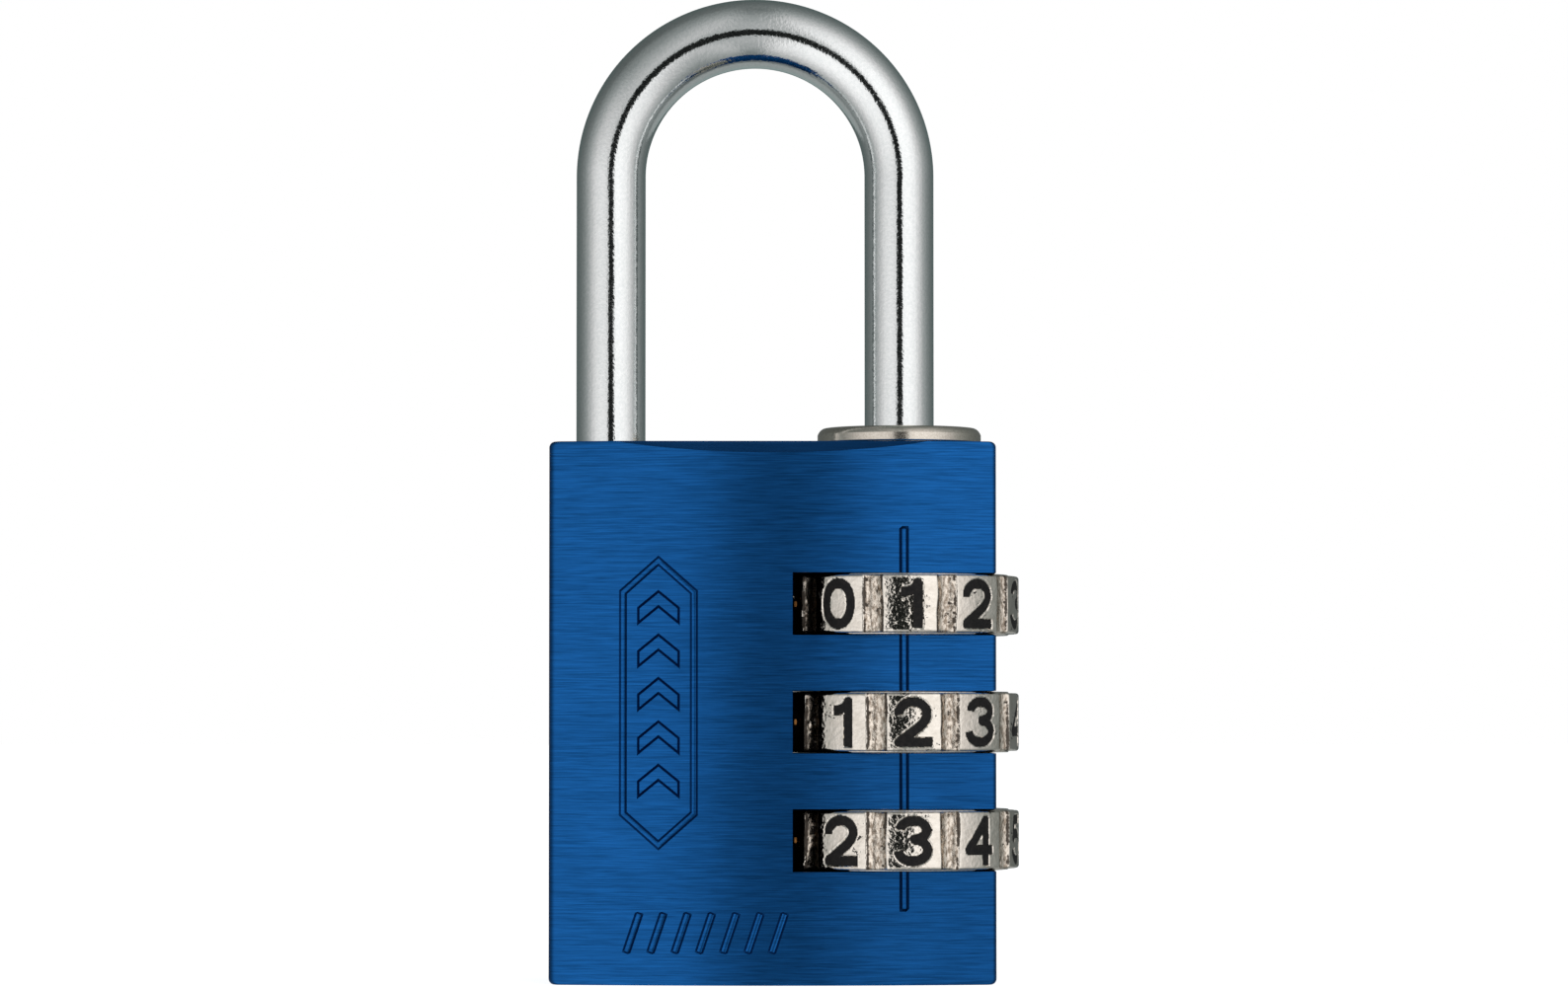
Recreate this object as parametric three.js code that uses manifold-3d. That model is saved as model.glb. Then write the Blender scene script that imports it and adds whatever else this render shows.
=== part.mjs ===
// Three-wheel combination padlock with a resettable code.
//
// Millimetres, +Z up. The origin is the centre of the body's bottom face, the front face looks
// towards -Y, and the number wheels stand out of the right side, +X.
//
// How it works: each wheel (dial) turns a code sleeve through ten splines. The shackle's long leg
// runs down through the sleeves and carries one locking pin below each sleeve's gate ring. The
// rings let the pins past only where their gates line up with the pins. To set a new code the
// lifted shackle is turned, and its pins push the sleeves down, out of the wheels' splines,
// against the return spring. A bowed leaf spring clicks into the wheel's grooves.
import * as THREE from 'three';
import { mergeVertices } from 'three/addons/utils/BufferGeometryUtils.js';
import Module from 'manifold-3d';

// ---- Driving dimensions -------------------------------------------------------------------

const BODY_WIDTH = 30;
const BODY_DEPTH = 13.5; // at the middle, where the bowed faces are furthest apart
const BODY_HEIGHT = 36.4;
const FACE_RADIUS = 74; // front and back faces are bowed about a vertical axis
const CORNER_RADIUS = 0.4;
const EDGE_BEVEL = 0.3;
const CHAMFER_HALF_WIDTH = 10.9; // where the flat top chamfer runs out on the bowed face
const CHAMFER_TOOL = 6; // side of the square tool that cuts the top chamfers

const BAR_RADIUS = 2.35;
const LONG_LEG_X = 8.6; // also the axis of the wheels, sleeves and bore
const TOE_LEG_X = -11;
const SHACKLE_TOP = BODY_HEIGHT + 30.4;
const SHACKLE_LIFT = 6.6;
const TOE_CLEARANCE = 0.6; // toe leg above the body when the shackle is fully lifted
const LONG_LEG_END = 7;
const TOE_LEG_END = BODY_HEIGHT - SHACKLE_LIFT + TOE_CLEARANCE;
const LEG_CHAMFER = 0.6;

const DIAL_COUNT = 3;
const DIAL_PITCH = 7.91;
const TOP_DIAL_Z = 25.48;
const DIAL_RADIUS = 8.1;
const DIAL_HEIGHT = 3.9; // over the rim
const HUB_HEIGHT = 4.1; // over the raised hub faces
const HUB_RADIUS = 7.4;
const DIAL_POSITIONS = 10;
const PAD_HALF_ANGLE = 12.25; // degrees, each number sits on a pad
const PAD_OFFSET_ANGLE = 3.4; // degrees, pads stand a little to the right of the index line
const GROOVE_SLOPE_ANGLE = 1.3;
const GROOVE_DEPTH = 0.35;
const DIAL_BEVEL = 0.35;

const POCKET_RADIUS = 9.9; // wheel pockets are cut by a disc, on the wheel axis
const POCKET_HEIGHT = 4.2;
const BORE_RADIUS = 4.85;
const BORE_FLOOR = 2;
const TOE_BORE_RADIUS = 2.5;
const TOE_BORE_FLOOR = 29.5;
const INDEX_X = 8.8;
const INDEX_WIDTH = 0.6;
const INDEX_DEPTH = 0.18;
const INDEX_BOTTOM = 5.1;
const INDEX_TOP = 30.5;

const SPLINE_MINOR_RADIUS = 4.2; // tips of the wheel's inner ribs
const SPLINE_ROOT_RADIUS = 4.75;
const COUNTERBORE_RADIUS = 4.8; // lower half of the wheel, where released teeth turn freely
const RIB_HALF_ANGLE = 6.5;
const TOOTH_HALF_ANGLE = 10;
const TOOTH_TIP_RADIUS = 4.6;
const SLEEVE_TRAVEL = 1.9;
const RELEASE_GAP = 0.1; // teeth to ribs when a sleeve is pushed down
const TOOTH_BOTTOM = 0.05; // heights on a sleeve are measured from its wheel's middle
const TOOTH_TOP = SLEEVE_TRAVEL - RELEASE_GAP;

const SLEEVE_OUTER_RADIUS = 4.1;
const SLEEVE_INNER_RADIUS = 3.35;
const SLEEVE_BOTTOM = -1.04;
const SLEEVE_TOP = 6.82;
const JOIN_OVERLAP = 0.1; // how far two shapes run into each other where they are joined or cut

const PIN_RADIUS = 0.75;
const PIN_TIP = 3.15; // reach of a pin from the leg's axis
const PIN_DROP = 1.0; // pin height below its wheel's middle
const PIN_DEPTH = 1.6; // how far a pin goes past the leg's axis
const PIN_HOLE_GAP = 0.05;
const PIN_CHAMFER = 0.2;

const LOCKED_PLAY = 0.7; // pin to gate ring when the shackle is closed
const GATE_RING_RADIUS = 2.45;
const GATE_RING_BOTTOM = PIN_RADIUS - PIN_DROP + LOCKED_PLAY;
const GATE_RING_TOP = 2.3;
const GATE_WIDTH = 1.7;
const GATE_UNDERCUT = 0.07; // how far a gate is cut into the sleeve's wall
const SET_NOTCH_DEPTH = 0.5;

const COLLAR_FLANGE_RADIUS = 5.55;
const COLLAR_FLANGE_HEIGHT = 1.1;
const COLLAR_SHANK_RADIUS = 4.8;
const COLLAR_SHANK_END = BODY_HEIGHT - 4;
const COLLAR_BORE_RADIUS = 2.45;
const COLLAR_ROUNDING = 0.45;
const SEAT_GAP = 0.05; // left between parts that rest on each other

const WASHER_THICKNESS = 0.6;
const WASHER_RADIUS = 4.6;
const SPRING_MEAN_RADIUS = 3.6;
const SPRING_WIRE_RADIUS = 0.35;
const SPRING_TURNS = 4.5;
const SPRING_END_PITCH = 0.78;

const LEAF_THICKNESS = 0.2;
const LEAF_HEIGHT = 1.0;
const LEAF_NOSE_ANGLE = 90 - PAD_OFFSET_ANGLE; // degrees round from the front, towards the toe leg
const LEAF_ANCHOR_ANGLE = 121;
const LEAF_ANCHOR_RADIUS = 11; // centreline radii are measured from the wheel axis
const LEAF_BEND_ANGLE = 118.5;
const LEAF_BEND_RADIUS = 9.45;
const LEAF_BLADE = [ // degrees past the nose and radius, from the bend to the free tip
  [30, 9.3], [18, 8.9], [5.4, 8.37], [0, 7.95], [-5.4, 8.37], [-16, 8.52], [-31, 8.44],
];
const ANCHOR_NOTCH_WIDTH = 0.5;
const ANCHOR_NOTCH_HEIGHT = 1.2;
const ANCHOR_NOTCH_DEPTH = 1.25;

const CUT_OVERRUN = 1; // how far a cutting tool runs past the surface it opens

const FACETS = { // round each kind of curve, or along it
  face: 14, corner: 3, edge: 2, pocket: 72, bore: 48, toeBore: 32,
  bar: 20, bow: 28, legEnd: 24, pin: 16, collar: 48, collarRim: 4,
  pad: 4, groove: 1, rim: 1, hub: 48, counterbore: 40, spline: 2,
  sleeve: 32, washer: 40, wire: 8, coil: 16, leaf: 36,
};

const radians = THREE.MathUtils.degToRad;
const dialHeights = Array.from({ length: DIAL_COUNT }, (_, i) => TOP_DIAL_Z - i * DIAL_PITCH);
const stepAngle = 360 / DIAL_POSITIONS;

// ---- Solids and booleans ------------------------------------------------------------------

const wasm = await Module();
wasm.setup();

// Turns a closed geometry into a manifold, with shared vertices merged and slivers dropped.
function toManifold(geometry) {
  const bare = geometry.clone();
  bare.deleteAttribute('normal');
  bare.deleteAttribute('uv');
  const merged = mergeVertices(bare, 1e-4);
  const triangles = [];
  const index = merged.index.array;
  for (let i = 0; i < index.length; i += 3) {
    const [a, b, c] = [index[i], index[i + 1], index[i + 2]];
    if (a !== b && b !== c && c !== a) triangles.push(a, b, c);
  }
  const vertProperties = new Float32Array(merged.attributes.position.array);
  const triVerts = new Uint32Array(triangles);
  return new wasm.Manifold(new wasm.Mesh({ numProp: 3, vertProperties, triVerts }));
}

function toGeometry(manifold) {
  const mesh = manifold.getMesh();
  const geometry = new THREE.BufferGeometry();
  geometry.setAttribute('position', new THREE.BufferAttribute(mesh.vertProperties, 3));
  geometry.setIndex(new THREE.BufferAttribute(mesh.triVerts, 1));
  geometry.computeVertexNormals();
  return geometry;
}

// A turned solid about +Z. The profile's [radius, height] points run anticlockwise and close.
function turned(profile, segments) {
  const points = [...profile, profile[0]].map(([r, z]) => new THREE.Vector2(r, z));
  const geometry = new THREE.LatheGeometry(points, segments);
  return toManifold(geometry.rotateX(Math.PI / 2));
}

// An upright cylinder from one height to another.
function cylinder(radius, bottom, top, segments, x = 0) {
  const geometry = new THREE.CylinderGeometry(radius, radius, top - bottom, segments);
  return toManifold(geometry.rotateX(Math.PI / 2).translate(x, 0, (bottom + top) / 2));
}

// A box given by its lowest and highest corners.
function box(low, high) {
  const size = high.map((value, i) => value - low[i]);
  const centre = high.map((value, i) => (value + low[i]) / 2);
  return toManifold(new THREE.BoxGeometry(...size).translate(...centre));
}

// An outline in plan, raised from one height to another, with optionally bevelled edges.
function raised(shape, bottom, top, bevel = 0, bevelSegments = 1) {
  const geometry = new THREE.ExtrudeGeometry(shape, {
    depth: top - bottom - 2 * bevel,
    bevelEnabled: bevel > 0,
    bevelThickness: bevel,
    bevelSize: bevel,
    bevelOffset: -bevel,
    bevelSegments,
  });
  return toManifold(geometry.translate(0, 0, bottom + bevel));
}

// Points on an arc, both ends included, angles in degrees.
function arcPoints(x, y, radius, start, end, count) {
  return Array.from({ length: count + 1 }, (_, i) => {
    const angle = radians(start + ((end - start) * i) / count);
    return new THREE.Vector2(x + radius * Math.cos(angle), y + radius * Math.sin(angle));
  });
}

// ---- Body ---------------------------------------------------------------------------------

const faceCentreY = FACE_RADIUS - BODY_DEPTH / 2;
const faceY = (x) => faceCentreY - Math.sqrt(FACE_RADIUS ** 2 - x ** 2); // front face, at x

// The body in plan: two bowed faces joined to flat sides by small round corners.
function bodyOutline() {
  const cornerX = BODY_WIDTH / 2 - CORNER_RADIUS;
  const cornerY = Math.sqrt((FACE_RADIUS - CORNER_RADIUS) ** 2 - cornerX ** 2) - faceCentreY;
  const slant = THREE.MathUtils.radToDeg(Math.asin(cornerX / (FACE_RADIUS - CORNER_RADIUS)));
  const face = (y, middle) => {
    return arcPoints(0, y, FACE_RADIUS, middle - slant, middle + slant, FACETS.face);
  };
  const corner = (x, y, from, to) => {
    return arcPoints(x, y, CORNER_RADIUS, from, to, FACETS.corner).slice(1, -1);
  };
  const side = (sign) => [
    new THREE.Vector2((sign * BODY_WIDTH) / 2, -sign * cornerY),
    new THREE.Vector2((sign * BODY_WIDTH) / 2, sign * cornerY),
  ];
  return new THREE.Shape([
    ...face(faceCentreY, 270),
    ...corner(cornerX, -cornerY, slant - 90, 0),
    ...side(1),
    ...corner(cornerX, cornerY, 0, 90 - slant),
    ...face(-faceCentreY, 90),
    ...corner(-cornerX, cornerY, 90 + slant, 180),
    ...side(-1),
    ...corner(-cornerX, -cornerY, 180, 270 - slant),
  ]);
}

// A block that cuts the top front edge (side -1) or back edge (side 1) at 45 degrees.
function chamferCutter(side) {
  const edgeY = Math.abs(faceY(CHAMFER_HALF_WIDTH));
  const geometry = new THREE.BoxGeometry(BODY_WIDTH + 2 * CUT_OVERRUN, CHAMFER_TOOL, CHAMFER_TOOL);
  geometry.translate(0, 0, CHAMFER_TOOL / 2);
  geometry.rotateX((-side * Math.PI) / 4);
  return toManifold(geometry.translate(0, side * edgeY, BODY_HEIGHT));
}

// The narrow cut in the pocket wall that holds the leaf spring's hooked tail.
function anchorNotch(z) {
  const depth = 2 * ANCHOR_NOTCH_DEPTH;
  const geometry = new THREE.BoxGeometry(ANCHOR_NOTCH_WIDTH, depth, ANCHOR_NOTCH_HEIGHT);
  geometry.translate(0, -POCKET_RADIUS, 0);
  geometry.rotateZ(radians(-LEAF_ANCHOR_ANGLE));
  return toManifold(geometry.translate(LONG_LEG_X, 0, z));
}

function bodyBlock() {
  const indexFloor = faceY(INDEX_X) + INDEX_DEPTH;
  const cuts = [
    chamferCutter(-1),
    chamferCutter(1),
    cylinder(BORE_RADIUS, BORE_FLOOR, BODY_HEIGHT + CUT_OVERRUN, FACETS.bore, LONG_LEG_X),
    cylinder(TOE_BORE_RADIUS, TOE_BORE_FLOOR, BODY_HEIGHT + CUT_OVERRUN, FACETS.toeBore, TOE_LEG_X),
    box(
      [INDEX_X - INDEX_WIDTH / 2, -BODY_DEPTH, INDEX_BOTTOM],
      [INDEX_X + INDEX_WIDTH / 2, indexFloor, INDEX_TOP],
    ),
  ];
  const half = POCKET_HEIGHT / 2;
  for (const z of dialHeights) {
    cuts.push(cylinder(POCKET_RADIUS, z - half, z + half, FACETS.pocket, LONG_LEG_X));
    cuts.push(anchorNotch(z));
  }
  const block = raised(bodyOutline(), 0, BODY_HEIGHT, EDGE_BEVEL, FACETS.edge);
  return cuts.reduce((solid, cut) => solid.subtract(cut), block);
}

// ---- Shackle, collar and locking pins -----------------------------------------------------

// Up the toe leg, round the bow and down the long leg. The parameter is shared out so that the
// bow gets nearly all the steps and each leg is one straight step.
class ShacklePath extends THREE.Curve {
  constructor(bowSteps) {
    super();
    this.steps = bowSteps + 2;
    this.bowRadius = (LONG_LEG_X - TOE_LEG_X) / 2;
    this.bowX = (LONG_LEG_X + TOE_LEG_X) / 2;
    this.bowZ = SHACKLE_TOP - BAR_RADIUS - this.bowRadius;
  }

  getPoint(t, target = new THREE.Vector3()) {
    const step = t * this.steps;
    if (step <= 1) return target.set(TOE_LEG_X, 0, THREE.MathUtils.lerp(TOE_LEG_END, this.bowZ, step));
    const left = this.steps - step;
    if (left <= 1) return target.set(LONG_LEG_X, 0, THREE.MathUtils.lerp(LONG_LEG_END, this.bowZ, left));
    const angle = Math.PI * (1 - (step - 1) / (this.steps - 2));
    const z = this.bowZ + this.bowRadius * Math.sin(angle);
    return target.set(this.bowX + this.bowRadius * Math.cos(angle), 0, z);
  }

  getUtoTmapping(u) {
    return u;
  }
}

function circleShape(radius, sides) {
  return new THREE.Shape(arcPoints(0, 0, radius, 0, 360, sides).slice(0, -1));
}

// A ring of metal that turns a leg's sharp end into a chamfered one when it is cut away.
function legEndCutter(x, end) {
  const inner = BAR_RADIUS - LEG_CHAMFER;
  const outer = BAR_RADIUS + LEG_CHAMFER;
  const profile = [[inner, end - LEG_CHAMFER], [outer, end - LEG_CHAMFER], [outer, end + 2 * LEG_CHAMFER]];
  profile.push([inner, end]);
  return turned(profile, FACETS.legEnd).translate([x, 0, 0]);
}

// A pin or its hole, lying along X, from inside the leg out towards the toe leg.
function pinSolid(radius, tip, inner, z, chamfer = 0) {
  const profile = [[0, 0], [radius, 0], [radius, inner + tip - chamfer], [radius - chamfer, inner + tip]];
  profile.push([0, inner + tip]);
  const points = profile.map(([r, length]) => new THREE.Vector2(r, length));
  const geometry = new THREE.LatheGeometry(points, FACETS.pin).rotateZ(Math.PI / 2);
  return toManifold(geometry.translate(LONG_LEG_X + inner, 0, z));
}

function shackle() {
  const path = new ShacklePath(FACETS.bow);
  const section = circleShape(BAR_RADIUS, FACETS.bar);
  const bar = toManifold(
    new THREE.ExtrudeGeometry(section, { steps: path.steps, bevelEnabled: false, extrudePath: path }),
  );
  const cuts = [legEndCutter(TOE_LEG_X, TOE_LEG_END), legEndCutter(LONG_LEG_X, LONG_LEG_END)];
  const holeRadius = PIN_RADIUS + PIN_HOLE_GAP;
  const holeDepth = PIN_DEPTH + PIN_HOLE_GAP;
  for (const z of dialHeights) {
    cuts.push(pinSolid(holeRadius, BAR_RADIUS + CUT_OVERRUN, holeDepth, z - PIN_DROP));
  }
  return cuts.reduce((solid, cut) => solid.subtract(cut), bar);
}

const lockingPin = (z) => pinSolid(PIN_RADIUS, PIN_TIP, PIN_DEPTH, z - PIN_DROP, PIN_CHAMFER);

function shackleCollar() {
  const bottom = BODY_HEIGHT + SEAT_GAP;
  const top = BODY_HEIGHT + COLLAR_FLANGE_HEIGHT;
  const rimRadius = COLLAR_FLANGE_RADIUS - COLLAR_ROUNDING;
  const rim = arcPoints(rimRadius, top - COLLAR_ROUNDING, COLLAR_ROUNDING, 0, 90, FACETS.collarRim);
  const profile = [
    [COLLAR_BORE_RADIUS, COLLAR_SHANK_END],
    [COLLAR_SHANK_RADIUS, COLLAR_SHANK_END],
    [COLLAR_SHANK_RADIUS, bottom],
    [COLLAR_FLANGE_RADIUS, bottom],
    ...rim.map((point) => [point.x, point.y]),
    [COLLAR_BORE_RADIUS, top],
  ];
  return turned(profile, FACETS.collar).translate([LONG_LEG_X, 0, 0]);
}

// ---- Number wheels ------------------------------------------------------------------------

// Rim outline: ten pads with a sloping-sided groove between each two, about the wheel axis.
function dialOutline() {
  const points = [];
  const pad = PAD_HALF_ANGLE;
  const floor = DIAL_RADIUS - GROOVE_DEPTH;
  const grooveStart = PAD_HALF_ANGLE + GROOVE_SLOPE_ANGLE;
  const grooveEnd = stepAngle - grooveStart;
  for (let i = 0; i < DIAL_POSITIONS; i += 1) {
    const middle = -90 + PAD_OFFSET_ANGLE + i * stepAngle;
    points.push(...arcPoints(0, 0, DIAL_RADIUS, middle - pad, middle + pad, FACETS.pad));
    points.push(...arcPoints(0, 0, floor, middle + grooveStart, middle + grooveEnd, FACETS.groove));
  }
  return new THREE.Shape(points);
}

// A toothed outline that alternates between two radii. Each high stretch is 2 * half wide.
function splineOutline(lowRadius, highRadius, half, firstAngle) {
  const points = [];
  for (let i = 0; i < DIAL_POSITIONS; i += 1) {
    const middle = firstAngle + i * stepAngle;
    const end = middle + stepAngle - half;
    points.push(...arcPoints(0, 0, highRadius, middle - half, middle + half, FACETS.spline));
    points.push(...arcPoints(0, 0, lowRadius, middle + half, end, FACETS.spline));
  }
  return new THREE.Shape(points);
}

function dial(z) {
  const half = HUB_HEIGHT / 2;
  const rim = raised(dialOutline(), -DIAL_HEIGHT / 2, DIAL_HEIGHT / 2, DIAL_BEVEL, FACETS.rim);
  const hub = cylinder(HUB_RADIUS, -half, half, FACETS.hub);
  const grooveHalf = stepAngle / 2 - RIB_HALF_ANGLE;
  const grooves = splineOutline(SPLINE_MINOR_RADIUS, SPLINE_ROOT_RADIUS, grooveHalf, stepAngle / 2);
  return rim
    .add(hub)
    .subtract(cylinder(COUNTERBORE_RADIUS, -half - CUT_OVERRUN, 0, FACETS.counterbore))
    .subtract(raised(grooves, -CUT_OVERRUN, half + CUT_OVERRUN))
    .translate([LONG_LEG_X, 0, z]);
}

// ---- Code sleeves, washer and springs -----------------------------------------------------

function codeSleeve(z) {
  const tube = turned(
    [
      [SLEEVE_INNER_RADIUS, SLEEVE_BOTTOM],
      [SLEEVE_OUTER_RADIUS, SLEEVE_BOTTOM],
      [SLEEVE_OUTER_RADIUS, SLEEVE_TOP],
      [SLEEVE_INNER_RADIUS, SLEEVE_TOP],
      [SLEEVE_INNER_RADIUS, GATE_RING_TOP],
      [GATE_RING_RADIUS, GATE_RING_TOP],
      [GATE_RING_RADIUS, GATE_RING_BOTTOM],
      [SLEEVE_INNER_RADIUS, GATE_RING_BOTTOM],
    ],
    FACETS.sleeve,
  );
  const gateReach = SLEEVE_INNER_RADIUS + GATE_UNDERCUT;
  const gate = box(
    [-gateReach, -GATE_WIDTH / 2, GATE_RING_BOTTOM - JOIN_OVERLAP],
    [-GATE_RING_RADIUS / 2, GATE_WIDTH / 2, GATE_RING_TOP + JOIN_OVERLAP],
  );
  const setNotch = box(
    [-GATE_WIDTH / 2, -gateReach, GATE_RING_TOP - SET_NOTCH_DEPTH],
    [GATE_WIDTH / 2, -GATE_RING_RADIUS / 2, GATE_RING_TOP + JOIN_OVERLAP],
  );
  const toothRoot = SLEEVE_OUTER_RADIUS - JOIN_OVERLAP;
  const middleOfWall = (SLEEVE_INNER_RADIUS + SLEEVE_OUTER_RADIUS) / 2;
  const teeth = splineOutline(toothRoot, TOOTH_TIP_RADIUS, TOOTH_HALF_ANGLE, stepAngle / 2);
  teeth.holes.push(new THREE.Path(circleShape(middleOfWall, FACETS.sleeve).getPoints()));
  return tube
    .add(raised(teeth, TOOTH_BOTTOM, TOOTH_TOP))
    .subtract(gate)
    .subtract(setNotch)
    .translate([LONG_LEG_X, 0, z]);
}

const lowestSleeveBottom = dialHeights[DIAL_COUNT - 1] + SLEEVE_BOTTOM;
const washerTop = lowestSleeveBottom - SEAT_GAP;
const washerBottom = washerTop - WASHER_THICKNESS;

function thrustWasher() {
  const profile = [
    [SLEEVE_INNER_RADIUS, washerBottom],
    [WASHER_RADIUS, washerBottom],
    [WASHER_RADIUS, washerTop],
    [SLEEVE_INNER_RADIUS, washerTop],
  ];
  return turned(profile, FACETS.washer).translate([LONG_LEG_X, 0, 0]);
}

// Compression spring centreline: one closed turn at each end and open turns between.
class SpringPath extends THREE.Curve {
  getPoint(t, target = new THREE.Vector3()) {
    const low = BORE_FLOOR + SEAT_GAP + SPRING_WIRE_RADIUS;
    const high = washerBottom - SEAT_GAP - SPRING_WIRE_RADIUS;
    const turn = t * SPRING_TURNS;
    const openPitch = (high - low - 2 * SPRING_END_PITCH) / (SPRING_TURNS - 2);
    let z = low + SPRING_END_PITCH * Math.min(turn, 1);
    z += openPitch * THREE.MathUtils.clamp(turn - 1, 0, SPRING_TURNS - 2);
    z += SPRING_END_PITCH * Math.max(turn - (SPRING_TURNS - 1), 0);
    const angle = 2 * Math.PI * turn;
    const x = LONG_LEG_X + SPRING_MEAN_RADIUS * Math.cos(angle);
    return target.set(x, SPRING_MEAN_RADIUS * Math.sin(angle), z);
  }
}

function returnSpring() {
  const wire = circleShape(SPRING_WIRE_RADIUS, FACETS.wire);
  const steps = Math.round(SPRING_TURNS * FACETS.coil);
  return toManifold(
    new THREE.ExtrudeGeometry(wire, { steps, bevelEnabled: false, extrudePath: new SpringPath() }),
  );
}

// Leaf spring in plan, about the wheel axis: a tail hooked into the body, a bow that clears the
// pads, a nose in the groove beside the toe leg, and a free tip that follows the wheel's rim.
function leafCentreline() {
  const polar = (angle, radius) => {
    const a = radians(angle);
    return new THREE.Vector2(-radius * Math.sin(a), -radius * Math.cos(a));
  };
  const tail = [
    polar(LEAF_ANCHOR_ANGLE, LEAF_ANCHOR_RADIUS),
    polar(LEAF_ANCHOR_ANGLE, POCKET_RADIUS),
    polar(LEAF_BEND_ANGLE, LEAF_BEND_RADIUS),
  ];
  const blade = LEAF_BLADE.map(([past, radius]) => polar(LEAF_NOSE_ANGLE + past, radius));
  return [...tail, ...new THREE.SplineCurve(blade).getPoints(FACETS.leaf)];
}

function detentSpring(z) {
  const line = leafCentreline();
  const half = LEAF_THICKNESS / 2;
  const offset = (sign) => line.map((point, i) => {
    const before = line[Math.max(i - 1, 0)];
    const after = line[Math.min(i + 1, line.length - 1)];
    const along = after.clone().sub(before).normalize();
    return new THREE.Vector2(point.x - sign * half * along.y, point.y + sign * half * along.x);
  });
  const shape = new THREE.Shape([...offset(-1), ...offset(1).reverse()]);
  return raised(shape, -LEAF_HEIGHT / 2, LEAF_HEIGHT / 2).translate([LONG_LEG_X, 0, z]);
}

// ---- Assembly -----------------------------------------------------------------------------

const anodisedBlue = { color: 0x12508f, roughness: 0.38, metalness: 0.85 };
const satinChrome = { color: 0xc4c8c8, roughness: 0.25, metalness: 1 };
const nickelCasting = { color: 0xc8beb0, roughness: 0.35, metalness: 1 };
const machinedBrass = { color: 0xc9a34e, roughness: 0.35, metalness: 1 };
const springSteel = { color: 0x8d9094, roughness: 0.35, metalness: 1 };
const bronzeStrip = { color: 0xa9743c, roughness: 0.35, metalness: 1 };

const padlock = new THREE.Group();

function addPart(name, manifold, finish) {
  const mesh = new THREE.Mesh(toGeometry(manifold), new THREE.MeshStandardMaterial(finish));
  mesh.name = name;
  padlock.add(mesh);
}

addPart('body_block', bodyBlock(), anodisedBlue);
addPart('shackle_collar', shackleCollar(), nickelCasting);
addPart('shackle', shackle(), satinChrome);
addPart('thrust_washer', thrustWasher(), springSteel);
addPart('return_spring', returnSpring(), springSteel);
dialHeights.forEach((z, i) => {
  addPart(`locking_pin_${i + 1}`, lockingPin(z), springSteel);
  addPart(`dial_${i + 1}`, dial(z), nickelCasting);
  addPart(`code_sleeve_${i + 1}`, codeSleeve(z), machinedBrass);
  addPart(`detent_spring_${i + 1}`, detentSpring(z), bronzeStrip);
});

export default padlock;
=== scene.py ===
"""Looks of the three-wheel combination padlock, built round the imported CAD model.

Lengths are in millimetres until a mesh is made, which is in metres, in the CAD model's frame:
+Z up, the front face towards -Y, the number wheels standing out of the right side, +X.
"""

import math

import bmesh
import bpy
import numpy as np
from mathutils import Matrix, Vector


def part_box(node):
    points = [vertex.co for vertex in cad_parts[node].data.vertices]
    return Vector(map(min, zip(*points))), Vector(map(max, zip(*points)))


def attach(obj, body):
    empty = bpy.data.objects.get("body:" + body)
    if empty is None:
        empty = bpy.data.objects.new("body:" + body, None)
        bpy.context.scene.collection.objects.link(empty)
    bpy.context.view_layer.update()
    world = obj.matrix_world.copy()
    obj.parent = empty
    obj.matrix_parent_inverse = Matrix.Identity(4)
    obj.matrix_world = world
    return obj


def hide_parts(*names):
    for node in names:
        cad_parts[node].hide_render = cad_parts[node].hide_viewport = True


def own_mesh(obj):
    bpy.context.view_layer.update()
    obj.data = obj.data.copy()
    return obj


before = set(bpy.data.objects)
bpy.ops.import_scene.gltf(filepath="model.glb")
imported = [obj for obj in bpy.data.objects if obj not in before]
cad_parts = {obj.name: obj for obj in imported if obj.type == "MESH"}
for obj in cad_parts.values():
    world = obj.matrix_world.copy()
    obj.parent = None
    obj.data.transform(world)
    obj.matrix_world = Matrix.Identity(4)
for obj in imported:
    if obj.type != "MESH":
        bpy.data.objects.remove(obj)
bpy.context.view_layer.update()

MM = 0.001

# ---- Dimensions ----------------------------------------------------------------------------

BODY_WIDTH, BODY_DEPTH, BODY_HEIGHT = 30.0, 13.5, 36.4
FACE_RADIUS = 74.0
FACE_CENTRE_Y = FACE_RADIUS - BODY_DEPTH / 2
LEFT_CORNER, RIGHT_CORNER = 0.62, 0.42
SIDE_ROUNDING, FACE_ROUNDING = 0.4, 0.05
CHAMFER_HALF_WIDTH = 10.9

BAR_RADIUS = 2.35
LONG_LEG_X, TOE_LEG_X = 8.6, -11.0
SHACKLE_TOP = 66.8
LONG_LEG_END, TOE_LEG_END = 7.0, 30.4
LEG_CHAMFER = 0.6

DIAL_HEIGHTS = [25.48, 17.57, 9.66]
DIAL_RADIUS, DIAL_HEIGHT = 8.1, 3.9
HUB_RADIUS, HUB_HEIGHT = 7.4, 4.1
GROOVE_DEPTH = 0.37
POCKET_RADIUS, POCKET_HEIGHT = 9.9, 4.2
BORE_RADIUS, BORE_FLOOR = 4.85, 2.0
TOE_BORE_RADIUS, TOE_BORE_FLOOR = 2.5, 29.5
RIB_RADIUS, SPLINE_ROOT_RADIUS, COUNTERBORE_RADIUS = 4.2, 4.75, 4.8
RIB_HALF_ANGLE = 6.5
INDEX_X, INDEX_WIDTH, INDEX_BOTTOM, INDEX_TOP = 8.8, 0.66, 5.1, 30.5

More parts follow.
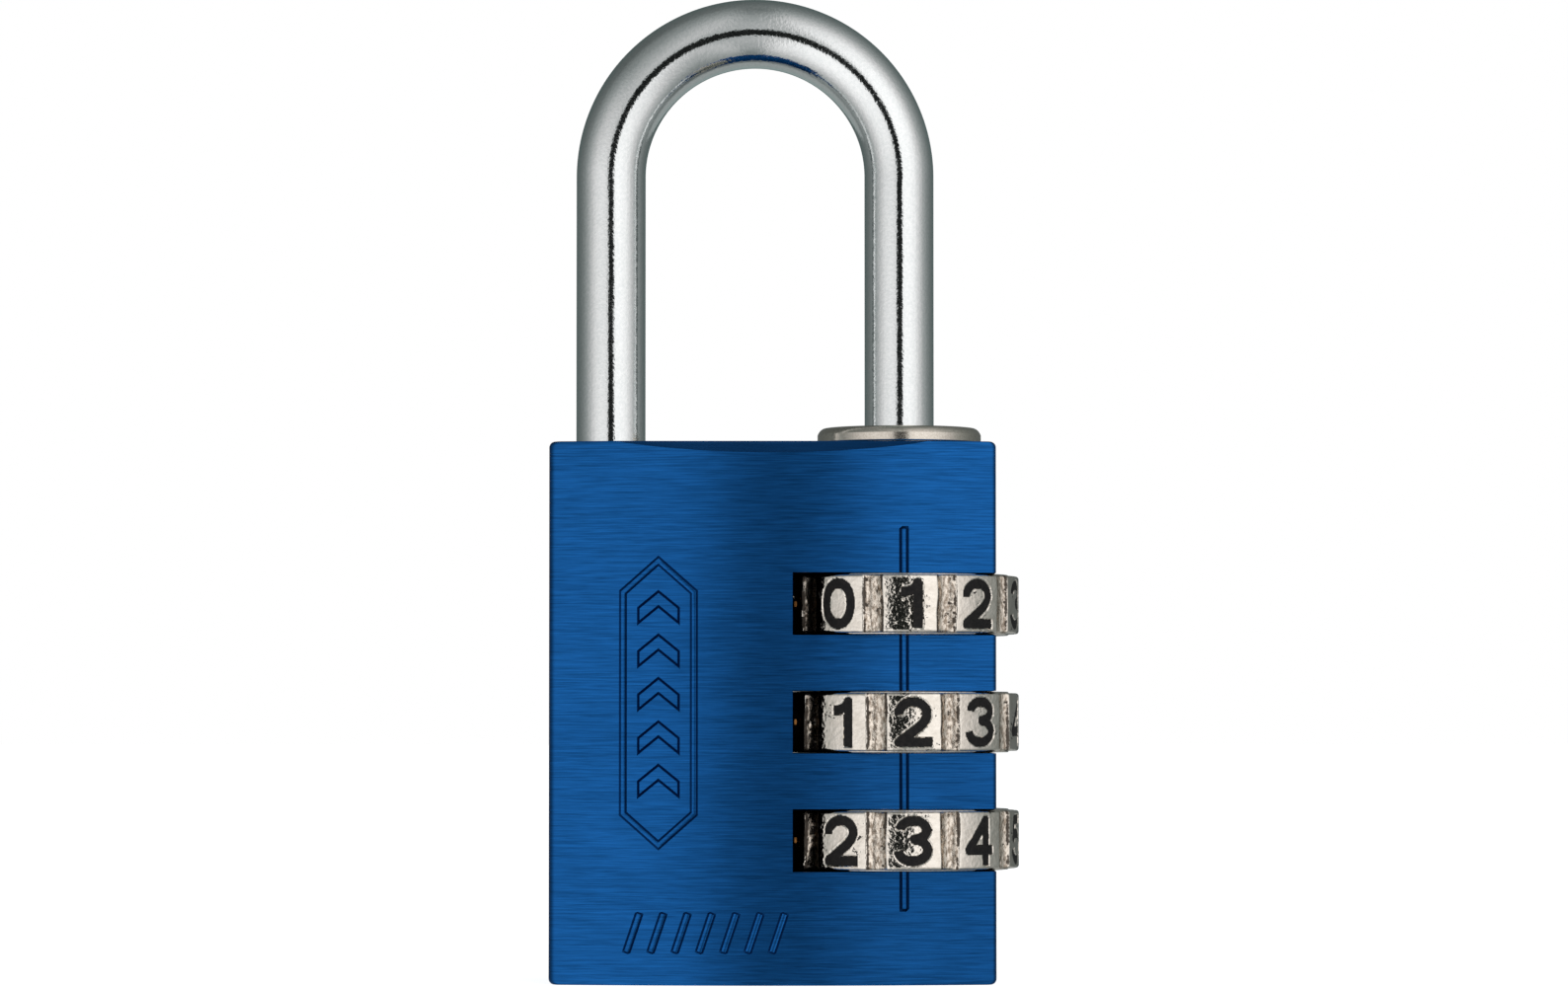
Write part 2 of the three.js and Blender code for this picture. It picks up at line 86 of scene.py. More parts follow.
# Click springs, as radii about the wheel's axis and degrees from the front towards the toe leg.
LEAF_THICKNESS, LEAF_HEIGHT = 0.2, 1.0
LEAF_TIP_ANGLE, LEAF_NOSE_ANGLE, LEAF_ANCHOR_ANGLE = 55.6, 86.6, 121.0
LEAF_RADIUS, LEAF_RISE, LEAF_RISE_ANGLE = 8.55, 0.95, 92
LEAF_NOSE_DEPTH, LEAF_NOSE_SPREAD = 0.27, 3.5
LEAF_TAIL, LEAF_SLOT_WIDTH, LEAF_SLOT_DEPTH = 1.0, 0.5, 1.25

# Return spring, with the radius of its wire and the gap left at either end.
COIL_RADIUS, COIL_WIRE, COIL_TURNS, COIL_END_PITCH = 3.6, 0.35, 4.5, 0.78
COIL_GAP = 0.05


def face_y(x):
    """Y of the front face at x, for a number or an array."""
    return FACE_CENTRE_Y - np.sqrt(FACE_RADIUS**2 - np.square(x))


# ---- Mesh helpers --------------------------------------------------------------------------


def new_piece(name, vertices, faces):
    """An object from vertices in millimetres, with its faces turned outwards."""
    mesh = bpy.data.meshes.new(name)
    mesh.from_pydata((np.asarray(vertices, float) * MM).tolist(), [], faces)
    bm = bmesh.new()
    bm.from_mesh(mesh)
    bmesh.ops.recalc_face_normals(bm, faces=bm.faces)
    bm.to_mesh(mesh)
    bm.free()
    piece = bpy.data.objects.new(name, mesh)
    bpy.context.scene.collection.objects.link(piece)
    return piece


def ring_faces(rings, around, closed=False):
    """Quads between successive rings of points that all have the same count."""
    steps = rings if closed else rings - 1
    i = np.arange(steps)[:, None]
    j = np.arange(around)[None, :]
    ahead, beside = (i + 1) % rings, (j + 1) % around
    corners = [i * around + j, i * around + beside, ahead * around + beside, ahead * around + j]
    return np.stack([np.broadcast_to(c, (steps, around)) for c in corners], -1).reshape(-1, 4)


def loft(name, rings, closed=False):
    """A skin over rings of points. Open lofts are capped at both ends."""
    rings = np.asarray(rings, float)
    count, around = rings.shape[:2]
    faces = ring_faces(count, around, closed).tolist()
    if not closed:
        faces.append(list(range(around))[::-1])
        faces.append([(count - 1) * around + k for k in range(around)])
    return new_piece(name, rings.reshape(-1, 3), faces)


def turned(name, profile, segments, x=0.0, z=0.0):
    """A turned solid from a closed [radius, height] profile that stays off the axis."""
    profile = np.asarray(profile, float)
    angle = np.linspace(0, 2 * math.pi, segments, endpoint=False)[:, None]
    rings = np.stack(
        [x + profile[:, 0] * np.cos(angle), profile[:, 0] * np.sin(angle),
         np.broadcast_to(z + profile[:, 1], (segments, len(profile)))], -1)
    return loft(name, rings, closed=True)


def cylinder(name, radius, bottom, top, segments, x=0.0):
    """A cutter with round ends at two heights."""
    angle = np.linspace(0, 2 * math.pi, segments, endpoint=False)
    circle = np.stack([x + radius * np.cos(angle), radius * np.sin(angle)], -1)
    rings = [np.c_[circle, np.full(segments, z)] for z in (bottom, top)]
    return loft(name, rings)


def apply_modifiers(piece):
    """Puts the result of a piece's modifiers into its mesh."""
    graph = bpy.context.evaluated_depsgraph_get()
    mesh = bpy.data.meshes.new_from_object(piece.evaluated_get(graph))
    piece.modifiers.clear()
    piece.data = mesh


def join(pieces):
    """One object from several that don't touch."""
    with bpy.context.temp_override(active_object=pieces[0], selected_editable_objects=pieces):
        bpy.ops.object.join()
    return pieces[0]


def cut(target, cutters, finish=None):
    """Cuts the cutters out of target. New faces take the finish that the cutters carry."""
    for cutter in cutters:
        if finish and not cutter.data.materials:
            cutter.data.materials.append(finish)
    tool = join(cutters) if len(cutters) > 1 else cutters[0]
    modifier = target.modifiers.new("cut", "BOOLEAN")
    modifier.operation = "DIFFERENCE"
    modifier.solver = "EXACT"
    modifier.material_mode = "TRANSFER"
    modifier.object = tool
    apply_modifiers(target)
    bpy.data.objects.remove(tool)


def smooth(piece, angle=30):
    """Smooth shading, with creases where faces meet at more than the angle."""
    piece.data.shade_smooth()
    piece.data.set_sharp_from_angle(angle=math.radians(angle))


def lattice_noise(rng, u, v, cells_u, cells_v, octaves=1):
    """Smooth noise from -1 to 1 over u and v, both 0 to 1. It repeats over u."""
    total = np.zeros(np.broadcast(u, v).shape)
    for octave in range(octaves):
        nu, nv = cells_u * 2**octave, cells_v * 2**octave
        grid = rng.uniform(-1, 1, (nu, nv + 2))
        pu, pv = u * nu, np.clip(v, 0, 1) * nv
        iu, iv = np.floor(pu).astype(int), np.floor(pv).astype(int)
        fu, fv = pu - iu, pv - iv
        fu, fv = fu * fu * (3 - 2 * fu), fv * fv * (3 - 2 * fv)
        low = grid[iu % nu, iv] * (1 - fu) + grid[(iu + 1) % nu, iv] * fu
        high = grid[iu % nu, iv + 1] * (1 - fu) + grid[(iu + 1) % nu, iv + 1] * fu
        total += (low * (1 - fv) + high * fv) / 2**octave
    return total


def ramp(value, start, end):
    """Smooth step: 0 at start, 1 at end."""
    t = np.clip((value - start) / (end - start), 0, 1)
    return t * t * (3 - 2 * t)


# ---- Material helpers ----------------------------------------------------------------------


def input_socket(node, key):
    """A node's input by its name, or by its number when the key is i0, i1 and so on."""
    return node.inputs[int(key[1:])] if key[0] == "i" and key[1:].isdigit() else node.inputs[key]


def feed(tree, socket, value):
    """Links a socket to the input, or sets the input to a constant."""
    if isinstance(value, bpy.types.NodeSocket):
        tree.links.new(value, socket)
    else:
        socket.default_value = value


def opaque(colour):
    """Three numbers as an opaque colour. A socket stays as it is."""
    return colour if isinstance(colour, bpy.types.NodeSocket) else (*colour, 1.0)


class Material:
    """A node material with short calls for the nodes used here."""

    def __init__(self, name, metallic=1.0, **constants):
        self.material = bpy.data.materials.new(name)
        self.material.use_nodes = True
        self.tree = self.material.node_tree
        self.shader = self.tree.nodes["Principled BSDF"]
        self.shader.inputs["Metallic"].default_value = metallic
        for socket, value in constants.items():
            self.shader.inputs[socket.replace("_", " ")].default_value = value
        self.place = self.add("ShaderNodeTexCoord").outputs["Object"]

    def add(self, kind, settings=None, **inputs):
        node = self.tree.nodes.new(kind)
        for key, value in (settings or {}).items():
            setattr(node, key, value)
        for key, value in inputs.items():
            feed(self.tree, input_socket(node, key), value)
        return node

    def stretched(self, per_x, per_y, per_z):
        """Place scaled so that one unit is 1 / per metres along each axis."""
        mapping = self.add("ShaderNodeMapping", Vector=self.place)
        mapping.inputs["Scale"].default_value = (per_x, per_y, per_z)
        return mapping.outputs["Vector"]

    def noise(self, vector, scale=1.0, detail=2.0, roughness=0.5, distortion=0.0):
        return self.add("ShaderNodeTexNoise", Vector=vector, Scale=scale, Detail=detail,
                        Roughness=roughness, Distortion=distortion).outputs["Fac"]

    def attribute(self, name):
        return self.add("ShaderNodeAttribute", {"attribute_name": name}).outputs["Fac"]

    def remap(self, value, low, high, to_low=0.0, to_high=1.0, soft=True):
        kind = "SMOOTHSTEP" if soft else "LINEAR"
        node = self.add("ShaderNodeMapRange", {"interpolation_type": kind},
                        i0=value, i1=low, i2=high, i3=to_low, i4=to_high)
        return node.outputs["Result"]

    def math(self, operation, a, b=0.0, clamp=False):
        settings = {"operation": operation, "use_clamp": clamp}
        return self.add("ShaderNodeMath", settings, i0=a, i1=b).outputs[0]

    def mix(self, amount, a, b):
        """Mixes colours, given as sockets or as three numbers."""
        settings = {"data_type": "RGBA"}
        return self.add("ShaderNodeMix", settings, i0=amount, i6=opaque(a), i7=opaque(b)).outputs[2]

    def scaled_colour(self, colour, value):
        settings = {"data_type": "RGBA", "blend_type": "MULTIPLY"}
        return self.add("ShaderNodeMix", settings, i0=1.0, i6=opaque(colour), i7=value).outputs[2]

    def bump(self, height, distance, strength=1.0, normal=None):
        node = self.add("ShaderNodeBump", Height=height, Strength=strength, Distance=distance * MM)
        if normal is not None:
            self.tree.links.new(normal, node.inputs["Normal"])
        return node.outputs["Normal"]

    def link(self, socket, value):
        self.tree.links.new(value, self.shader.inputs[socket])


def anodised(name, colour, streaks=1.0, roughness=0.31, anisotropic=1.0):
    """Blue anodised aluminium with fine horizontal brushing, and painted shade towards one lower corner."""
    m = Material(name, Anisotropic=anisotropic, Anisotropic_Rotation=0.25)
    fine = m.noise(m.stretched(420, 420, 13000), detail=3.0, roughness=0.6)
    long = m.noise(m.stretched(160, 160, 7500), detail=2.0)
    patches = m.noise(m.stretched(90, 90, 130), detail=3.0, roughness=0.55)
    both = m.math("ADD", m.math("MULTIPLY", fine, 0.7), m.math("MULTIPLY", long, 0.3))
    low, high = 1 - 0.34 * streaks, 1 + 0.30 * streaks
    tone = m.remap(both, 0.36, 0.64, low, high, soft=False)
    shade = m.remap(patches, 0.35, 0.65, 0.975, 1.025)
    # Painted shade: the colour is a little darker towards the lower corner on the wheels' side, +X.
    where = m.add("ShaderNodeSeparateXYZ", Vector=m.place).outputs
    painted_shade_corner = m.math("MULTIPLY", m.remap(where[0], -0.001, 0.013), m.remap(where[2], 0.034, 0.004))
    shade = m.math("SUBTRACT", shade, m.math("MULTIPLY", painted_shade_corner, 0.30))
    m.link("Base Color", m.scaled_colour(m.scaled_colour(colour, tone), shade))
    m.link("Roughness", m.remap(both, 0.3, 0.7, roughness - 0.02, roughness + 0.03, soft=False))
    m.link("Normal", m.bump(both, 0.004, 0.35 * streaks))
    tangent = m.add("ShaderNodeTangent", {"direction_type": "RADIAL", "axis": "Z"})
    m.link("Tangent", tangent.outputs["Tangent"])
    return m.material


def worn_metal(name, colour, dark, roughness=0.2, grain=9000.0, scratch=0.5, bump=0.002, spread=0.06):
    """Plain metal with a fine grain, faint scratches and uneven gloss."""
    m = Material(name)
    fine = m.noise(m.place, scale=grain, detail=3.0, roughness=0.7)
    broad = m.noise(m.place, scale=330.0, detail=3.0)
    lines = m.noise(m.stretched(600, 600, 15000), detail=2.0)
    marks = m.math("MULTIPLY", m.remap(lines, 0.62, 0.72), m.remap(broad, 0.45, 0.6))
    tint = m.mix(m.remap(fine, 0.35, 0.65), dark, colour)
    m.link("Base Color", m.mix(m.math("MULTIPLY", marks, scratch), tint, dark))
    uneven = m.remap(broad, 0.3, 0.7, -spread, spread)
    uneven = m.math("ADD", uneven, m.remap(fine, 0.3, 0.7, -0.03, 0.03))
    m.link("Roughness", m.math("ADD", uneven, roughness, clamp=True))
    m.link("Normal", m.bump(fine, bump, 0.6))
    return m.material


def shackle_finish():
    """Satin chrome: bright, nearly mirror smooth, with a fine sparkle."""
    m = Material("satin_chrome", Specular_Tint=(0.78, 0.94, 0.93, 1.0))
    sparkle = m.noise(m.place, scale=5200.0, detail=1.6, roughness=0.6)
    drawn = m.noise(m.stretched(5200, 5200, 260), detail=2.0)
    broad = m.noise(m.place, scale=140.0, detail=2.0)
    tint = m.mix(m.remap(sparkle, 0.3, 0.7), (0.765, 0.785, 0.785), (0.86, 0.87, 0.868))
    m.link("Base Color", tint)
    rough = m.remap(broad, 0.3, 0.7, 0.060, 0.090)
    m.link("Roughness", m.math("ADD", rough, m.remap(sparkle, 0.3, 0.7, -0.02, 0.03)))
    height = m.math("ADD", sparkle, m.math("MULTIPLY", drawn, 0.5))
    m.link("Normal", m.bump(height, 0.0125, 0.6))
    return m.material


def cast_dial_finish():
    """Polished nickel pads, rough grooves with darker bands and spots, and black left in scratches near the
    numerals.
    """
    m = Material("cast_dial")
    groove = m.attribute("groove")
    darkening = m.attribute("darkening")
    near = m.attribute("near_numeral")
    fine = m.noise(m.place, scale=5200.0, detail=4.0, roughness=0.65)
    coarse = m.noise(m.place, scale=1500.0, detail=4.0, roughness=0.6)
    speck = m.noise(m.place, scale=3000.0, detail=5.0, roughness=0.75)
    pits = m.noise(m.place, scale=3700.0, detail=1.4, roughness=0.5)
    streaky = m.noise(m.stretched(6500, 6500, 2600), detail=4.0, roughness=0.65)
    pad = m.mix(m.remap(coarse, 0.3, 0.7), (0.78, 0.715, 0.635), (0.90, 0.835, 0.755))
    rough = m.mix(m.remap(streaky, 0.38, 0.60), (0.34, 0.27, 0.21), (0.92, 0.82, 0.71))
    metal = m.mix(groove, pad, rough)
    ragged = m.math("MULTIPLY", m.math("SUBTRACT", fine, 0.5), 1.6)
    line = m.remap(m.math("ADD", darkening, ragged), 0.45, 0.75)
    metal = m.mix(m.math("MULTIPLY", line, 0.93), metal, (0.050, 0.034, 0.022))
    specks = m.remap(m.math("ADD", speck, m.math("MULTIPLY", near, 0.20)), 0.685, 0.71)
    metal = m.mix(specks, metal, (0.018, 0.016, 0.016))
    m.link("Base Color", metal)
    dull = m.math("MAXIMUM", line, specks)
    gloss = m.math("ADD", m.remap(coarse, 0.3, 0.7, 0.05, 0.10), m.math("MULTIPLY", groove, 0.16))
    m.link("Roughness", m.math("ADD", gloss, m.math("MULTIPLY", dull, 0.25), clamp=True))
    m.link("Metallic", m.math("SUBTRACT", 1.0, m.math("MULTIPLY", dull, 0.55)))
    height = m.math("MULTIPLY", coarse, 0.4)
    height = m.math("ADD", height, m.math("MULTIPLY", fine, m.remap(groove, 0, 1, 0.15, 0.8)))
    height = m.math("ADD", height, m.math("MULTIPLY", pits, m.remap(groove, 0, 1, 0.95, 0.2)))
    m.link("Normal", m.bump(height, 0.045, 0.6))
    return m.material


def enamel_finish():
    """The black fill of the numerals, slightly grainy."""
    m = Material("numeral_enamel", metallic=0.0, Specular_IOR_Level=0.22)
    grain = m.noise(m.place, scale=4200.0, detail=4.0, roughness=0.7)
    black, grey = (0.006, 0.0055, 0.006), (0.022, 0.019, 0.018)
    m.link("Base Color", m.mix(m.remap(grain, 0.35, 0.75), black, grey))
    m.link("Roughness", m.remap(grain, 0.3, 0.7, 0.42, 0.62))
    m.link("Normal", m.bump(grain, 0.02, 0.5))
    return m.material


BLUE = (0.0117, 0.122, 0.400)
blue_brushed = anodised("anodised_blue", BLUE)
blue_plain = anodised("anodised_milled", (0.0105, 0.105, 0.35), 0.15, 0.24, anisotropic=0.0)
# Painted shade: darker copies of the blue for the walls of the index line and of the ornament's channels.
blue_index_painted_shade = anodised("anodised_groove_painted_shade", (0.003, 0.030, 0.115), 0.3, 0.4, anisotropic=0.0)
blue_shaded = anodised("anodised_engraving_painted_shade", (0.005, 0.048, 0.175), 0.3, 0.4, anisotropic=0.0)
# Painted shade: a near-black metal for the pockets' walls, standing for the shade inside them.
pocket_painted_shade = worn_metal("pocket_wall_painted_shade", (0.012, 0.014, 0.022), (0.004, 0.004, 0.006), roughness=0.45)
chrome = shackle_finish()
nickel = worn_metal("satin_nickel", (0.78, 0.72, 0.64), (0.62, 0.56, 0.485),
                    roughness=0.16, bump=0.004, spread=0.04)
cast = cast_dial_finish()
enamel = enamel_finish()
brass = worn_metal("sleeve_brass", (0.72, 0.52, 0.20), (0.48, 0.32, 0.11), roughness=0.28)
steel = worn_metal("spring_steel", (0.42, 0.43, 0.44), (0.25, 0.255, 0.26), roughness=0.25)
bronze = worn_metal("bronze_strip", (0.42, 0.215, 0.075), (0.20, 0.095, 0.032), roughness=0.16)


# ---- Body ----------------------------------------------------------------------------------


def body_outline():
    """Points of the body in plan: two bowed faces, two flat sides and four rounded corners."""

    def arc(x, y, radius, start, end, count):
        a = np.radians(np.linspace(start, end, count))
        return np.stack([x + radius * np.cos(a), y + radius * np.sin(a)], -1)

    def corner(radius):
        """Centre of a corner's arc, and where its arc meets the bowed face, in degrees."""
        x = BODY_WIDTH / 2 - radius
        reach = FACE_RADIUS - radius
        return x, math.sqrt(reach**2 - x**2) - FACE_CENTRE_Y, math.degrees(math.asin(x / reach))

    right_x, right_y, right = corner(RIGHT_CORNER)
    left_x, left_y, left = corner(LEFT_CORNER)
    return np.concatenate([
        arc(0, FACE_CENTRE_Y, FACE_RADIUS, 270 - left, 270 + right, 121),
        arc(right_x, -right_y, RIGHT_CORNER, right - 90, 0, 11)[1:],
        arc(right_x, right_y, RIGHT_CORNER, 0, 90 - right, 11)[:-1],
        arc(0, -FACE_CENTRE_Y, FACE_RADIUS, 90 - right, 90 + left, 121),
        arc(-left_x, left_y, LEFT_CORNER, 90 + left, 180, 11)[1:],
        arc(-left_x, -left_y, LEFT_CORNER, 180, 270 - left, 11)[:-1],
    ])


def groove_tool(name, path, width, floor, depth, wall_painted_shade, closed=False):
    """A cutter for a channel along a path of [x, z] points on the front face.

    The channel has slanted walls in a darker blue, which is painted shade, and a floor of the given width
    that rises in the middle.
    """
    path = np.asarray(path, float)
    if closed:
        before, after = np.roll(path, 1, 0), np.roll(path, -1, 0)
    else:
        before = np.vstack([2 * path[0] - path[1], path[:-1]])
        after = np.vstack([path[1:], 2 * path[-1] - path[-2]])
    into, out = path - before, after - path
    into /= np.linalg.norm(into, axis=1)[:, None]
    out /= np.linalg.norm(out, axis=1)[:, None]
    side_in = np.stack([into[:, 1], -into[:, 0]], -1)
    side_out = np.stack([out[:, 1], -out[:, 0]], -1)
    mitre = side_in + side_out
    mitre /= np.maximum((mitre * side_in).sum(1), 0.35)[:, None]
    half, inner, outside = width / 2, floor / 2, -0.25
    section = [(-half, outside), (-half, 0.0), (-inner, depth), (0.0, 0.8 * depth), (inner, depth),
               (half, 0.0), (half, outside)]
    stations = [(point, aside, section) for point, aside in zip(path, mitre)]
    if not closed:
        # The ends slant up to the surface like the walls.
        shallow = [(u, min(d, -0.02)) for u, d in section]
        run = half - inner
        stations = ([(path[0] - run * into[0], mitre[0], shallow)] + stations
                    + [(path[-1] + run * out[-1], mitre[-1], shallow)])
    rings = []
    for (x, z), (aside_x, aside_z), shape in stations:
        ring = [(x + aside_x * u, z + aside_z * u, d) for u, d in shape]
        rings.append([(px, float(face_y(px)) + d, pz) for px, pz, d in ring])
    tool = loft(name, rings, closed=closed)
    for finish in (blue_brushed, wall_painted_shade):
        tool.data.materials.append(finish)
    # Painted shade: the steep walls take the darker blue.
    for polygon in tool.data.polygons:
        if abs(polygon.normal.y) < 0.86:
            polygon.material_index = 1
    return tool


def engraving():
    """Plain ornament, and the index line.

    The ornament is a long six-sided frame with stacked chevrons, over a row of slanted ticks.
    """
    left, right, low, high, point = -10.0, -5.25, 9.35, 28.35, 2.1
    middle = (left + right) / 2
    corners = [(left, low + point), (middle, low), (right, low + point),
               (right, high - point), (middle, high), (left, high - point)]
    steps = 10  # along each side, so that the channel follows the bowed face
    outline = []
    for start, end in zip(np.array(corners), np.roll(corners, -1, 0)):
        outline += [start + (end - start) * t / steps for t in range(steps)]
    tools = [groove_tool("frame_tool", outline, 0.54, 0.26, 0.13, blue_shaded, closed=True)]

    chevrons, lowest, spacing = 5, 12.6, 2.9
    arm, rise, thick = 1.35, 1.1, 1.0
    for i in range(chevrons):
        z = lowest + spacing * i
        loop = [(middle - arm, z), (middle, z + rise), (middle + arm, z), (middle + arm, z + thick),
                (middle, z + thick + rise), (middle - arm, z + thick)]
        tools.append(groove_tool(f"chevron_tool_{i}", loop, 0.18, 0.03, 0.07, blue_shaded, closed=True))

    ticks, first_x, spacing = 7, -9.75, 1.62
    lean, tick_low, tick_high = 0.84, 2.25, 4.75
    for i in range(ticks):
        x = first_x + spacing * i
        path = [(x, tick_low), (x + lean / 2, (tick_low + tick_high) / 2), (x + lean, tick_high)]
        tools.append(groove_tool(f"tick_tool_{i}", path, 0.58, 0.29, 0.14, blue_shaded))

    index = [(INDEX_X, z) for z in np.linspace(INDEX_BOTTOM, INDEX_TOP, 12)]
    tools.append(groove_tool("index_tool", index, INDEX_WIDTH, 0.24, 0.18, blue_index_painted_shade))
    return tools


def round_wheel(degrees, radius):
    """Points in plan, from degrees and radii about the wheel's axis."""
    a = np.radians(degrees)
    return np.stack([LONG_LEG_X - radius * np.sin(a), -radius * np.cos(a)], -1)


def leaf_slot(z):
    """A cutter for the narrow slot in a pocket's wall that holds the tail of its click spring."""
    inner, outer = (round_wheel(LEAF_ANCHOR_ANGLE, POCKET_RADIUS + d) for d in (-0.5, LEAF_SLOT_DEPTH))
    along = (outer - inner) / np.linalg.norm(outer - inner)
    aside = np.array([-along[1], along[0]]) * LEAF_SLOT_WIDTH / 2
    corners = np.array([inner - aside, outer - aside, outer + aside, inner + aside])
    reach = LEAF_HEIGHT / 2 + 0.1
    return loft("slot_tool", [np.c_[corners, np.full(4, z + d)] for d in (-reach, reach)])


def make_body():
    """The block with its rounded edges, top chamfers, bores, pockets, spring slots and engraving."""
    outline = body_outline()
    rings = []
    for side in (0, 1):
        for a in np.linspace(0, math.pi / 2, 8)[::1 if side == 0 else -1]:
            shrink_x = 1 - SIDE_ROUNDING * (1 - math.sin(a)) / (BODY_WIDTH / 2)
            shrink_y = 1 - FACE_ROUNDING * (1 - math.sin(a)) / (BODY_DEPTH / 2)
            lift = SIDE_ROUNDING * (1 - math.cos(a))
            z = lift if side == 0 else BODY_HEIGHT - lift
            rings.append(np.c_[outline * (shrink_x, shrink_y), np.full(len(outline), z)])
    body = loft("lock_body_shell", rings)
    # The flat top and bottom are milled, not brushed.
    for finish in (blue_brushed, blue_plain):
        body.data.materials.append(finish)
    for polygon in body.data.polygons:
        if abs(polygon.normal.z) > 0.9:
            polygon.material_index = 1

    edge_y = abs(float(face_y(CHAMFER_HALF_WIDTH)))
    # The chamfers are cut with a square bar laid at 45 degrees along each top edge.
    bar, bar_end = 6.0, 17.0
    square = np.array([(-0.5, 0), (0.5, 0), (0.5, 1), (-0.5, 1)]) * bar
    for side in (-1, 1):
        ends = []
        for x in (-bar_end, bar_end):
            corners = []
            for u, v in square:
                y = (u + side * v) * math.sqrt(0.5)
                z = (v - side * u) * math.sqrt(0.5)
                corners.append((x, side * edge_y + y, BODY_HEIGHT + z))
            ends.append(corners)
        cut(body, [loft("chamfer_tool", ends)], blue_plain)

    above = BODY_HEIGHT + 1
    bore = cylinder("bore_tool", BORE_RADIUS, BORE_FLOOR, above, 128, LONG_LEG_X)
    toe = cylinder("toe_tool", TOE_BORE_RADIUS, TOE_BORE_FLOOR, above, 96, TOE_LEG_X)
    cut(body, [bore, toe], blue_plain)
    pockets = []
    for z in DIAL_HEIGHTS:
        half = POCKET_HEIGHT / 2
        pockets.append(cylinder("pocket_tool", POCKET_RADIUS, z - half, z + half, 240, LONG_LEG_X))
    # Painted shade: the walls of the pockets and of the spring slots take the near-black finish.
    cut(body, pockets, pocket_painted_shade)
    cut(body, [leaf_slot(z) for z in DIAL_HEIGHTS], pocket_painted_shade)

    cut(body, engraving())
    smooth(body, 24)
    return body


# ---- Shackle and collar --------------------------------------------------------------------


def make_shackle():
    """The bent bar: up the toe leg, round the bow and down the long leg."""
    bow_radius = (LONG_LEG_X - TOE_LEG_X) / 2
    bow_x = (LONG_LEG_X + TOE_LEG_X) / 2
    bow_z = SHACKLE_TOP - BAR_RADIUS - bow_radius

    def leg(x, end):
        inner = BAR_RADIUS - LEG_CHAMFER
        points = [(end, inner - 0.12), (end + 0.03, inner), (end + LEG_CHAMFER - 0.05, BAR_RADIUS - 0.03),
                  (end + LEG_CHAMFER + 0.05, BAR_RADIUS)]
        points += [(z, BAR_RADIUS) for z in np.linspace(end + LEG_CHAMFER + 1.0, bow_z, 14)]
        return [((x, z), 0.0, r) for z, r in points]

    # Each station is its place, its heading from straight up, and the bar's radius there.
    stations = leg(TOE_LEG_X, TOE_LEG_END)
    for turn in np.linspace(0, math.pi, 161)[1:-1]:
        at = (bow_x - bow_radius * math.cos(turn), bow_z + bow_radius * math.sin(turn))
        stations.append((at, turn, BAR_RADIUS))
    stations += [(at, math.pi, r) for at, _, r in reversed(leg(LONG_LEG_X, LONG_LEG_END))]
    angle = np.linspace(0, 2 * math.pi, 80, endpoint=False)
    rings = []
    for (x, z), turn, radius in stations:
        # At heading 0 the bar runs up; sideways is then along X.
        across = radius * np.cos(angle)
        rings.append(np.stack([x + across * math.cos(turn), radius * np.sin(angle),
                               z - across * math.sin(turn)], -1))
    shackle = loft("shackle_bar", rings)
    shackle.data.materials.append(chrome)
    smooth(shackle, 30)
    return shackle


def make_collar():
    """The flanged ring on the body's top, with a crowned flange and a shank in the bore."""
    bottom, top = BODY_HEIGHT + 0.05, BODY_HEIGHT + 1.1
    flange, shank, bore, low = 5.55, 4.8, 2.45, BODY_HEIGHT - 4
    crown_in, crown_up, crown_start = 0.62, 0.46, math.radians(34)
    profile = [(bore + 0.15, low), (shank - 0.25, low), (shank, low + 0.25), (shank, bottom),
               (flange - 0.1, bottom), (flange - 0.03, bottom + 0.03), (flange, bottom + 0.1)]
    for a in np.linspace(crown_start, math.pi / 2, 10):
        inwards = crown_in * (math.cos(crown_start) - math.cos(a))
        below = crown_up * (1 - math.sin(a)) / (1 - math.sin(crown_start))
        profile.append((flange - inwards, top - below))
    profile += [(bore + 0.4, top), (bore + 0.12, top - 0.06), (bore, top - 0.3), (bore, low + 0.15)]
    collar = turned("collar_ring", profile, 192, LONG_LEG_X)
    collar.data.materials.append(nickel)
    smooth(collar, 15)
    return collar


# ---- Number wheels -------------------------------------------------------------------------

PAD_COUNT = 10
PAD_PITCH = 36.0
PAD_HALF_ANGLE = 13.0
PAD_FLATNESS = 0.12
RIM_ROUNDING = 0.2
# How far the shown pad stands to the right of the index line, and its numeral, for each wheel.
DIAL_SETTINGS = [(4.2, 1), (5.9, 2), (5.8, 3)]
STROKE = 0.32
NUMERAL_DEPTH = 0.13
FAR = 9.0  # stands for no numeral near


def ellipse(cx, cy, rx, ry, start, end, count=28):
    """Points along part of an ellipse, from one angle to another in degrees."""
    a = np.radians(np.linspace(start, end, count))
    return [(cx + rx * math.cos(t), cy + ry * math.sin(t)) for t in a]


def quad_curve(a, b, c, count=10):
    """A curve from a to c that bends towards b."""
    t = np.linspace(0, 1, count)[:, None]
    a, b, c = np.array(a), np.array(b), np.array(c)
    return ((1 - t) ** 2 * a + 2 * t * (1 - t) * b + t * t * c).tolist()


def superellipse(rx, ry, power, count=64):
    """Points round an oval that is squarer the higher the power. The last point is the first one."""
    t = np.linspace(0, 2 * math.pi, count + 1)
    across, up = (np.copysign(np.abs(part) ** (2 / power), part) for part in (np.cos(t), np.sin(t)))
    return np.stack([rx * across, ry * up], -1).tolist()


TOP = 1.675 - STROKE  # height of a numeral's topmost centreline over its middle

